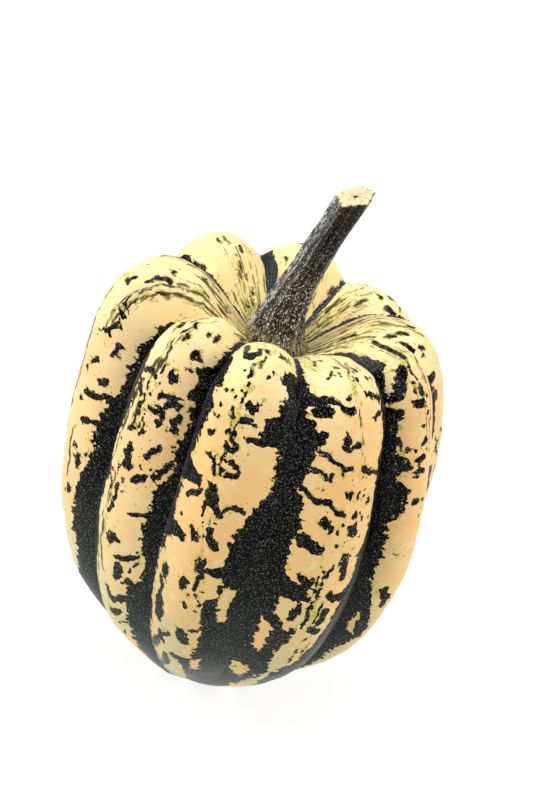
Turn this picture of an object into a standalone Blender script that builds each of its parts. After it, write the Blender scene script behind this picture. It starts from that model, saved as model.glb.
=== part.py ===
"""A ribbed acorn squash with its cut stalk, standing on the flat spot at its blossom end.

The fruit is one lofted skin of ten ribs, and the stalk is a second solid seated in its top.
Lengths are written in millimetres and the scene is in metres. +Z is up, along the fruit's axis,
and the origin is the middle of the flat spot. Azimuth 0 is -Y, and it grows towards +X.
"""

import math

import bmesh
import bpy
from mathutils import Vector

MM = 0.001

# Each rib starts at its furrow and runs to the next one. The furrow has its azimuth at the stalk's
# seat and sways aside on the way to the shoulder. The rib's crest stands out from the common outline
# by the next three lengths, near the top, at the shoulder and at the belly. The depth is that of the
# furrow at the belly, as a share of the common furrow depth.
RIBS = (
    {"furrow_deg": -22.5, "sway_deg": 3.1, "top": -1.5, "shoulder": 1.0, "belly": -1.7, "depth": 1.32},
    {"furrow_deg": 12.7, "sway_deg": 0.9, "top": -4.2, "shoulder": -1.0, "belly": 2.7, "depth": 0.65},
    {"furrow_deg": 51.7, "sway_deg": -0.4, "top": -0.5, "shoulder": 1.0, "belly": 2.5, "depth": 1.22},
    {"furrow_deg": 73.3, "sway_deg": 0.3, "top": -1.2, "shoulder": -3.8, "belly": -2.7, "depth": 0.64},
    {"furrow_deg": 116.0, "sway_deg": -0.7, "top": -4.0, "shoulder": -5.3, "belly": 1.0, "depth": 0.97},
    {"furrow_deg": 148.0, "sway_deg": 7.3, "top": 1.1, "shoulder": -1.5, "belly": -0.2, "depth": 1.44},
    {"furrow_deg": 196.9, "sway_deg": 0.7, "top": 1.9, "shoulder": -0.7, "belly": -0.3, "depth": 0.91},
    {"furrow_deg": 242.5, "sway_deg": -3.8, "top": -1.4, "shoulder": -2.7, "belly": 1.8, "depth": 0.93},
    {"furrow_deg": 271.6, "sway_deg": 0.8, "top": 3.3, "shoulder": 5.9, "belly": -1.0, "depth": 0.75},
    {"furrow_deg": 308.8, "sway_deg": -0.2, "top": -0.2, "shoulder": 0.8, "belly": -2.9, "depth": 1.51},
)
SWAY_START, SWAY_END = 0.08, 0.35  # shares of the way from seat to flat spot

# Radius and height of a rib's crest, from the stalk's seat over the shoulder to the flat spot.
CREST = (
    (10.2, 117.3),
    (25.4, 130.7),
    (34.2, 133.0),
    (45.1, 131.4),
    (53.1, 117.2),
    (58.3, 85.4),
    (56.5, 55.1),
    (46.4, 27.8),
    (23.4, 3.0),
    (13.0, 0.0),
)
# How far a furrow lies inside the crest at the same places, along the radius and down.
FURROW_INSET = (
    (0.0, 0.0),
    (0.7, 5.1),
    (3.1, 6.2),
    (5.7, 6.0),
    (6.3, 1.3),
    (6.4, 0.9),
    (4.3, -6.3),
    (1.6, -4.0),
    (-1.2, -0.8),
    (0.0, 0.0),
)
RIB_TWIST_DEG = -6.1  # from the stalk's seat to the flat spot
TWIST_FREE_SPOT = 0.27
# Where each bulge peaks and how widely it spreads, as shares of the way from seat to flat spot.
TOP_SPOT, TOP_SPREAD = 0.17, 0.10
SHOULDER_SPOT, SHOULDER_SPREAD = 0.33, 0.13
BELLY_SPOT, BELLY_SPREAD = 0.65, 0.16
BACK_POWER = 1.1  # above 1 flattens the rib towards its furrows

STEPS_PER_RIB = 12
STEPS_PER_SPAN = 4

SEAT_RADIUS = 8.9  # the stalk's foot stays about 0.3 clear of the seat's wall and floor
SEAT_DEPTH = 4.2

# The stalk's middle line, and its mean radius there, from the seat to the cut.
STALK_LINE = (
    (0.0, 0.0, 113.4, 8.55),
    (0.0, 0.0, 116.9, 8.55),
    (-0.9, 0.1, 119.4, 8.55),
    (-0.7, 0.4, 123.2, 7.20),
    (0.1, 1.0, 128.0, 5.90),
    (1.5, 2.0, 133.6, 5.20),
    (3.6, 3.2, 139.8, 4.75),
    (5.9, 4.6, 147.2, 4.45),
    (8.6, 6.0, 155.0, 4.30),
    (12.3, 7.4, 165.2, 4.50),
)
STALK_STEPS_PER_SPAN = 3
STALK_SIDES = 40
STALK_RIDGES = 5
STALK_RIDGE_DEG = -28.0  # azimuth of the first of the five ridges
STALK_RIDGE_HEIGHT = 0.10  # of the radius, once clear of the foot
FOOT_ROUND_END, RIDGE_FULL_START = 118.0, 124.0  # heights between which the ridges rise
LEAN_FULL_START = 134.0  # height from which the sections are square to the stalk's line
CUT_NORMAL = (-0.22, -0.25, 0.94)
CUT_LEAD = 13.0  # length over which the sections turn towards the cut

FRUIT_COLOUR = (0.86, 0.62, 0.28, 1.0)
STALK_COLOUR = (0.055, 0.050, 0.026, 1.0)


def clear_scene():
    for old in list(bpy.data.objects):
        bpy.data.objects.remove(old, do_unlink=True)


def finish_material(name, colour, roughness):
    material = bpy.data.materials.new(name)
    material.use_nodes = True
    shader = material.node_tree.nodes["Principled BSDF"]
    shader.inputs["Base Color"].default_value = colour
    shader.inputs["Roughness"].default_value = roughness
    shader.inputs["Metallic"].default_value = 0.0
    material.diffuse_color = colour
    return material


def smooth_step(low, high, value):
    share = min(1.0, max(0.0, (value - low) / (high - low)))
    return share * share * (3.0 - 2.0 * share)


def hump(value, middle, spread):
    return math.exp(-(((value - middle) / spread) ** 2))


def smooth_through(points, steps):
    """Points of a Catmull-Rom curve through the given ones, with steps stretches in each span."""
    ends = [2 * Vector(points[0]) - Vector(points[1]), 2 * Vector(points[-1]) - Vector(points[-2])]
    knots = [ends[0], *map(Vector, points), ends[1]]
    line = []
    for span in range(len(points) - 1):
        before, start, end, after = knots[span : span + 4]
        for step in range(steps):
            t = step / steps
            line.append(
                0.5
                * (
                    2.0 * start
                    + (end - before) * t
                    + (2.0 * before - 5.0 * start + 4.0 * end - after) * t**2
                    + (3.0 * start - before - 3.0 * end + after) * t**3
                )
            )
    line.append(knots[-2])
    return line


def rib_back(across):
    """How far up the rib a point lies, 0 in a furrow and 1 on the crest; across runs from -1 to 1."""
    return (1.0 - across * across) ** BACK_POWER


def furrow_azimuth(rib, share):
    """Azimuth in degrees of the furrow a rib starts at, a share of the way from seat to flat spot."""
    sway = rib["sway_deg"] * smooth_step(SWAY_START, SWAY_END, share)
    return rib["furrow_deg"] + sway + RIB_TWIST_DEG * (share - TWIST_FREE_SPOT)


def column_azimuths(share):
    """Azimuths in radians of all the columns of the fruit's skin, once round."""
    azimuths = []
    for number, rib in enumerate(RIBS):
        start = furrow_azimuth(rib, share)
        end = furrow_azimuth(RIBS[(number + 1) % len(RIBS)], share)
        width = (end - start) % 360.0
        for step in range(STEPS_PER_RIB):
            azimuths.append(math.radians(start + width * step / STEPS_PER_RIB))
    return azimuths


def rib_columns():
    """Height up the rib, bulges and furrow depth of every column of the skin, once round."""
    columns = []
    for number, rib in enumerate(RIBS):
        following = RIBS[(number + 1) % len(RIBS)]
        for step in range(STEPS_PER_RIB):
            part = step / STEPS_PER_RIB
            columns.append(
                {
                    "back": rib_back(2.0 * part - 1.0),
                    "bulges": (rib["top"], rib["shoulder"], rib["belly"]),
                    "depth": rib["depth"] + (following["depth"] - rib["depth"]) * part,
                }
            )
    return columns


def fruit_ring(share, crest, inset, outward, columns):
    """One ring of the skin at a share of the way from the stalk's seat to the flat spot."""
    spots = (
        hump(share, TOP_SPOT, TOP_SPREAD),
        hump(share, SHOULDER_SPOT, SHOULDER_SPREAD),
        hump(share, BELLY_SPOT, BELLY_SPREAD),
    )
    ring = []
    for column, azimuth in zip(columns, column_azimuths(share)):
        back = column["back"]
        bulge = sum(size * spot for size, spot in zip(column["bulges"], spots)) * back
        sunk = (1.0 - back) * (1.0 + (column["depth"] - 1.0) * smooth_step(0.2, 0.5, share))
        radius = crest.x - inset.x * sunk + bulge * outward.x
        height = crest.y - inset.y * sunk + bulge * outward.y
        ring.append((radius * math.sin(azimuth), -radius * math.cos(azimuth), height))
    return ring


def seat_ring(height):
    """A round, level ring of the seat that the stalk stands in."""
    angles = column_azimuths(0.0)
    return [(SEAT_RADIUS * math.sin(a), -SEAT_RADIUS * math.cos(a), height) for a in angles]


def loft(name, rings, material, keep_sharp_deg):
    """A closed solid through the rings, flat at both ends, from lists of points in millimetres."""
    mesh = bmesh.new()
    loops = [[mesh.verts.new(Vector(point) * MM) for point in ring] for ring in rings]
    for upper, lower in zip(loops, loops[1:]):
        for here in range(len(upper)):
            after = (here + 1) % len(upper)
            mesh.faces.new((upper[here], upper[after], lower[after], lower[here]))
    mesh.faces.new(loops[0])
    mesh.faces.new(loops[-1])
    bmesh.ops.recalc_face_normals(mesh, faces=mesh.faces)
    data = bpy.data.meshes.new(name)
    mesh.to_mesh(data)
    mesh.free()
    data.materials.append(material)
    data.shade_smooth()
    data.set_sharp_from_angle(angle=math.radians(keep_sharp_deg))
    solid = bpy.data.objects.new(name, data)
    bpy.context.scene.collection.objects.link(solid)
    return solid


def make_fruit():
    columns = rib_columns()
    crest = smooth_through(CREST, STEPS_PER_SPAN)
    inset = smooth_through(FURROW_INSET, STEPS_PER_SPAN)
    last = len(crest) - 1
    seat_rim = CREST[0][1]
    rings = [seat_ring(seat_rim - SEAT_DEPTH), seat_ring(seat_rim - 0.3)]
    for number in range(last + 1):
        run = crest[min(number + 1, last)] - crest[max(number - 1, 0)]
        outward = Vector((-run.y, run.x)).normalized()
        rings.append(fruit_ring(number / last, crest[number], inset[number], outward, columns))
    return loft("fruit", rings, finish_material("rind", FRUIT_COLOUR, 0.42), 50.0)


def stalk_ring(middle, along, radius, cut_share):
    """One five-cornered section of the stalk, square to its line, or turned towards the cut."""
    aside = Vector((0.0, 1.0, 0.0)).cross(along).normalized()
    front = aside.cross(along).normalized()
    cut = Vector(CUT_NORMAL).normalized()
    ridge_height = STALK_RIDGE_HEIGHT * smooth_step(FOOT_ROUND_END, RIDGE_FULL_START, middle.z)
    ring = []
    for side in range(STALK_SIDES):
        azimuth = 2.0 * math.pi * side / STALK_SIDES
        phase = STALK_RIDGES * (azimuth - math.radians(STALK_RIDGE_DEG))
        reach = radius * (1.0 + ridge_height * math.cos(phase) + 0.25 * ridge_height * math.cos(2 * phase))
        point = (aside * math.sin(azimuth) + front * math.cos(azimuth)) * reach
        slide = -point.dot(cut) / along.dot(cut)
        ring.append(middle + point + along * slide * cut_share)
    return ring


def make_stalk():
    line = smooth_through(STALK_LINE, STALK_STEPS_PER_SPAN)
    middles = [Vector(point[:3]) for point in line]
    top = middles[-1]
    rings = []
    for number, point in enumerate(line):
        after = middles[min(number + 1, len(middles) - 1)]
        along = (after - middles[max(number - 1, 0)]).normalized()
        lean = smooth_step(FOOT_ROUND_END, LEAN_FULL_START, middles[number].z)
        along = Vector((0.0, 0.0, 1.0)).lerp(along, lean).normalized()  # level sections at the foot
        to_cut = (top - middles[number]).length
        cut_share = 1.0 - smooth_step(0.0, CUT_LEAD, to_cut)
        rings.append(stalk_ring(middles[number], along, point[3], cut_share))
    return loft("stalk", rings, finish_material("stalk_skin", STALK_COLOUR, 0.7), 35.0)


clear_scene()
make_fruit()
make_stalk()
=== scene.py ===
import math
import bpy
import numpy as np
from mathutils import Matrix, Vector


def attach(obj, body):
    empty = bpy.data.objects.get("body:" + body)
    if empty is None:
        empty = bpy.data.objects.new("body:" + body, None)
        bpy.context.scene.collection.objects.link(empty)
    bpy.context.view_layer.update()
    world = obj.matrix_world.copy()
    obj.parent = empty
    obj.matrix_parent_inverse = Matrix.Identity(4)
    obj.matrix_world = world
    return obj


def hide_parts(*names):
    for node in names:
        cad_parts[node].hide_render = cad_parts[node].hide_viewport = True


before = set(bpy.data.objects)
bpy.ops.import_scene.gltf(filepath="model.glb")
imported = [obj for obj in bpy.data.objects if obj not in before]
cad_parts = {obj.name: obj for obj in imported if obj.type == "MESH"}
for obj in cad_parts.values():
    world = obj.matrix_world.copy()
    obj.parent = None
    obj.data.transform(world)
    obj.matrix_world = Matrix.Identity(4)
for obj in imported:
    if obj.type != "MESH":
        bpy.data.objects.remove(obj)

mm = 0.001
fullTurn = 2.0 * math.pi
anyPhase = (0.0, 6.28)  # radians, for waves that start anywhere
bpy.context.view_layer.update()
print("frame loaded")


# A socket of a node tree: arithmetic on it adds Math nodes, and node() adds any other node.
class Wire:
    def __init__(self, tree, end=None):
        self.tree, self.end = tree, end

    def node(self, kind, settings, values, out=0):
        made = self.tree.nodes.new(kind)
        for name, setting in settings.items():
            if name == "stops":
                ramp = made.color_ramp
                while len(ramp.elements) < len(setting):
                    ramp.elements.new(0.5)
                for stop, (place, colour) in zip(ramp.elements, setting):
                    stop.position, stop.color = place, colour
            else:
                setattr(made, name, setting)
        for key, value in values.items():
            if isinstance(value, Wire):
                self.tree.links.new(value.end, made.inputs[key])
            else:
                made.inputs[key].default_value = value
        return Wire(self.tree, made.outputs[out])

    def reckon(self, operation, first, second):
        return self.node("ShaderNodeMath", {"operation": operation}, {0: first, 1: second})

    def __add__(self, other):
        return self.reckon("ADD", self, other)

    __radd__ = __add__

    def __mul__(self, other):
        return self.reckon("MULTIPLY", self, other)

    __rmul__ = __mul__

    def __sub__(self, other):
        return self.reckon("SUBTRACT", self, other)

    def __rsub__(self, other):
        return self.reckon("SUBTRACT", other, self)

    def __neg__(self):
        return self * -1.0

    def larger(self, other):
        return self.reckon("MAXIMUM", self, other)

    # 0 below low, 1 above high, and soft between them
    def rise(self, low, high):
        return self.node(
            "ShaderNodeMapRange",
            {"interpolation_type": "SMOOTHSTEP"},
            {"Value": self, "From Min": low, "From Max": high, "To Min": 0.0, "To Max": 1.0},
        )

    def blend(self, first, second, mask):
        return self.node("ShaderNodeMix", {"data_type": "RGBA"}, {0: mask, 6: first, 7: second}, out=2)

    # this colour turned into another one where the mask is 1
    def into(self, other, mask):
        return self.blend(self, other, mask)

    # this vector times another one, part by part
    def stretch(self, by):
        return self.node("ShaderNodeVectorMath", {"operation": "MULTIPLY"}, {0: self, 1: by})

    def firstPart(self):
        return self.node("ShaderNodeSeparateXYZ", {}, {0: self})

    def noise(self, scale, detail=2.0, rough=0.5):
        values = {"Vector": self, "Scale": scale, "Detail": detail, "Roughness": rough}
        return self.node("ShaderNodeTexNoise", {"noise_dimensions": "3D"}, values)

    # distance from a scatter of random points, in the texture's own lengths
    def dots(self, scale):
        return self.node("ShaderNodeTexVoronoi", {"feature": "F1"}, {"Vector": self, "Scale": scale})

    # a number from 0 to 1 that each of those points draws for itself
    def dotChance(self, scale):
        values = {"Vector": self, "Scale": scale}
        tint = self.node("ShaderNodeTexVoronoi", {"feature": "F1"}, values, out=1)
        return self.node("ShaderNodeSeparateColor", {}, {0: tint})

    # round spots: where their soft edge lies, and which chances show
    def spots(self, scale, edge, chance):
        return (1.0 - self.dots(scale).rise(*edge)) * self.dotChance(scale).rise(*chance)


# a screen colour, 0 to 255, as a linear one
def ink(red, green, blue):
    parts = (part / 255.0 for part in (red, green, blue))
    linear = (p / 12.92 if p <= 0.04045 else ((p + 0.055) / 1.055) ** 2.4 for p in parts)
    return (*linear, 1.0)


def newFinish(name, uniform):
    material = bpy.data.materials.new(name)
    material.use_nodes = True
    tree = material.node_tree
    shader = tree.nodes["Principled BSDF"]
    for socket, value in uniform.items():
        shader.inputs[socket].default_value = value
    return material, Wire(tree), shader


def plug(wire, shader, socket):
    wire.tree.links.new(wire.end, shader.inputs[socket])


def attributeOf(start, name, out=2):
    return start.node("ShaderNodeAttribute", {"attribute_name": name}, {}, out=out)


def addObject(name, data):
    made = bpy.data.objects.new(name, data)
    bpy.context.scene.collection.objects.link(made)
    return made


camera = {
    "aim": (0.97, 0.0, 96.9),  # millimetres
    "distance": 513.0,
    "elevation": 29.85,  # degrees
    "roll": 13.6,
    "lens": 75.92,
    "sensor": 36.0,
    "clip": (0.02, 20.0),  # metres
}


def makeCamera():
    data = bpy.data.cameras.new("camera")
    data.lens, data.sensor_width = camera["lens"], camera["sensor"]
    data.sensor_fit = "AUTO"
    data.clip_start, data.clip_end = camera["clip"]
    lift = math.radians(camera["elevation"])
    aim = Vector(camera["aim"])
    place = aim + camera["distance"] * Vector((0.0, -math.cos(lift), math.sin(lift)))
    look = (aim - place).to_track_quat("-Z", "Y").to_matrix().to_4x4()
    roll = Matrix.Rotation(math.radians(camera["roll"]), 4, "Z")
    rig = addObject("camera", data)
    rig.matrix_world = Matrix.Translation(place * mm) @ look @ roll
    bpy.context.scene.camera = rig


# The fruit's shape, in millimetres and degrees. Its crest line runs from the seat of the stalk to
# the flat spot as (radius, height), and the furrow lies below it by furrowInset. Pairs of shares of
# the way down are a start and an end for sway and ownDepth, where ribs begin to lean and furrows to
# differ in depth, and a middle and a spread for top, shoulder and belly.
fruit = {
    "crest": (
        (10.2, 117.3), (25.4, 130.7), (34.2, 133.0), (45.1, 131.4), (53.1, 117.2),
        (58.3, 85.4), (56.5, 55.1), (46.4, 27.8), (23.4, 3.0), (13.0, 0.0),
    ),
    "furrowInset": (
        (0.0, 0.0), (0.7, 5.1), (3.1, 6.2), (5.7, 6.0), (6.3, 1.3),
        (6.4, 0.9), (4.3, -6.3), (1.6, -4.0), (-1.2, -0.8), (0.0, 0.0),
    ),
    "twist": -6.1,
    "twistFree": 0.27,
    "sway": (0.08, 0.35),
    "ownDepth": (0.2, 0.5),
    "top": (0.17, 0.10),
    "shoulder": (0.33, 0.13),
    "belly": (0.65, 0.16),
    "backPower": 1.1,
    "rows": 330,
    "seatRadius": 8.9,
    "seatDepth": 4.2,
    "seatHole": 0.4,
    "seatLip": 0.3,
    "underside": (
        (11.0, 0.02), (9.2, 0.10), (7.2, 0.35), (5.4, 0.8), (4.2, 1.25), (3.2, 1.5), (2.3, 1.2),
        (0.9, 0.7), (0.1, 0.6),
    ),
    "lumpSizes": (21.0, 13.0, 8.0),  # waves of the soft unevenness of the rind
    "lumpHeight": 0.06875,
    "lumpSeed": 11,
    "ribGap": 61.0,  # sets the noise of one rib apart from the next one's
}

# each rib runs from its own furrow, an azimuth in degrees, to the next one's
ribs = {
    "G": {"furrow": -22.5, "sway": 3.1, "top": -1.5, "shoulder": 1.0, "belly": -1.7, "depth": 1.32},
    "F": {"furrow": 12.7, "sway": 0.9, "top": -4.2, "shoulder": -1.0, "belly": 2.7, "depth": 0.65},
    "E": {"furrow": 51.7, "sway": -0.4, "top": -0.5, "shoulder": 1.0, "belly": 2.5, "depth": 1.22},
    "D": {"furrow": 73.3, "sway": 0.3, "top": -1.2, "shoulder": -3.8, "belly": -2.7, "depth": 0.64},
    "C": {"furrow": 116.0, "sway": -0.7, "top": -4.0, "shoulder": -5.3, "belly": 1.0, "depth": 0.97},
    "B": {"furrow": 148.0, "sway": 7.3, "top": 1.1, "shoulder": -1.5, "belly": -0.2, "depth": 1.44},
    "A": {"furrow": 196.9, "sway": 0.7, "top": 1.9, "shoulder": -0.7, "belly": -0.3, "depth": 0.91},
    "J": {"furrow": 242.5, "sway": -3.8, "top": -1.4, "shoulder": -2.7, "belly": 1.8, "depth": 0.93},
    "I": {"furrow": 271.6, "sway": 0.8, "top": 3.3, "shoulder": 5.9, "belly": -1.0, "depth": 0.75},
    "H": {"furrow": 308.8, "sway": -0.2, "top": -0.2, "shoulder": 0.8, "belly": -2.9, "depth": 1.51},
}
ribOrder = list(ribs)

# the skin is made in three sheets that meet in furrows: ribs, and columns in a degree of each
sheets = {
    "skinFront": {"ribs": ("G", "F", "E"), "columnsPerDegree": 2.95},
    "skinLeft": {"ribs": ("I", "H"), "columnsPerDegree": 2.6},
    "skinBack": {"ribs": ("D", "C", "B", "A", "J"), "columnsPerDegree": 1.42},
}


def smoothStep(low, high, value):
    share = np.clip((value - low) / (high - low), 0.0, 1.0)
    return share * share * (3.0 - 2.0 * share)


# a value at a share of the way, from a table of (share, value)
def tableAt(table, share):
    return np.interp(share, *np.transpose(table))


def unit(vectors):
    return vectors / (np.linalg.norm(vectors, axis=-1, keepdims=True) + 1e-12)


# how far along its line each point lies; lines may stand side by side in a grid
def lengthAlong(points):
    steps = np.linalg.norm(np.diff(points, axis=-2), axis=-1)
    return np.insert(np.cumsum(steps, axis=-1), 0, 0.0, axis=-1)


# points of a Catmull-Rom curve, asked for by span number and fraction
def alongCurve(points, at):
    points = np.asarray(points, float)
    knots = np.vstack([2 * points[0] - points[1], points, 2 * points[-1] - points[-2]])
    span = np.clip(np.floor(at).astype(int), 0, len(points) - 2)
    t = (at - span)[:, None]
    a, b, c, d = (knots[span + step] for step in range(4))
    curve = 2 * b + (c - a) * t + (2 * a - 5 * b + 4 * c - d) * t**2
    return 0.5 * (curve + (3 * b - a - 3 * c + d) * t**3)


# shares of the way from seat to flat spot, evenly spaced along the crest, and their lengths
def skinRows():
    fine = np.linspace(0.0, len(fruit["crest"]) - 1.0, 4000)
    length = lengthAlong(alongCurve(fruit["crest"], fine))
    wanted = np.linspace(0.0, length[-1], fruit["rows"])
    return np.interp(wanted, length, fine) / fine[-1], wanted


def nextRib(name):
    return ribOrder[(ribOrder.index(name) + 1) % len(ribOrder)]


def furrowAzimuth(name, share):
    rib = ribs[name]
    sway = rib["sway"] * smoothStep(*fruit["sway"], share)
    return rib["furrow"] + sway + fruit["twist"] * (share - fruit["twistFree"])


def lumpsAt(points):
    luck = np.random.default_rng(fruit["lumpSeed"])
    total = np.zeros(points.shape[:-1])
    for size in fruit["lumpSizes"]:
        for _ in range(5):
            way = luck.normal(size=3)
            way *= fullTurn / size / np.linalg.norm(way)
            total += np.sin(points @ way + luck.uniform(*anyPhase)) * size / fruit["lumpSizes"][0]
    return total * fruit["lumpHeight"]


# positions of one rib's skin, rows by columns, in millimetres
def ribSkin(name, shares, columns):
    rib, following = ribs[name], nextRib(name)
    last = len(fruit["crest"]) - 1
    at = shares * last
    crest = alongCurve(fruit["crest"], at)
    inset = alongCurve(fruit["furrowInset"], at)
    ahead, behind = np.minimum(at + 0.25, last), np.maximum(at - 0.25, 0)
    run = alongCurve(fruit["crest"], ahead) - alongCurve(fruit["crest"], behind)
    outward = unit(np.stack([-run[:, 1], run[:, 0]], 1))
    part = np.linspace(0.0, 1.0, columns + 1)[None, :]
    back = (1.0 - (2.0 * part - 1.0) ** 2) ** fruit["backPower"]
    bulge = sum(
        rib[spot] * np.exp(-(((shares - fruit[spot][0]) / fruit[spot][1]) ** 2))
        for spot in ("top", "shoulder", "belly")
    )[:, None] * back
    depth = rib["depth"] + (ribs[following]["depth"] - rib["depth"]) * part
    sunk = (1.0 - back) * (1.0 + (depth - 1.0) * smoothStep(*fruit["ownDepth"], shares)[:, None])
    radius = crest[:, :1] - inset[:, :1] * sunk + bulge * outward[:, :1]
    height = crest[:, 1:] - inset[:, 1:] * sunk + bulge * outward[:, 1:]
    start = furrowAzimuth(name, shares)
    width = (furrowAzimuth(following, shares) - start) % 360.0
    azimuth = np.radians(start[:, None] + width[:, None] * part)
    spots = np.stack([radius * np.sin(azimuth), -radius * np.cos(azimuth), height], 2)
    return spots, azimuth


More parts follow.
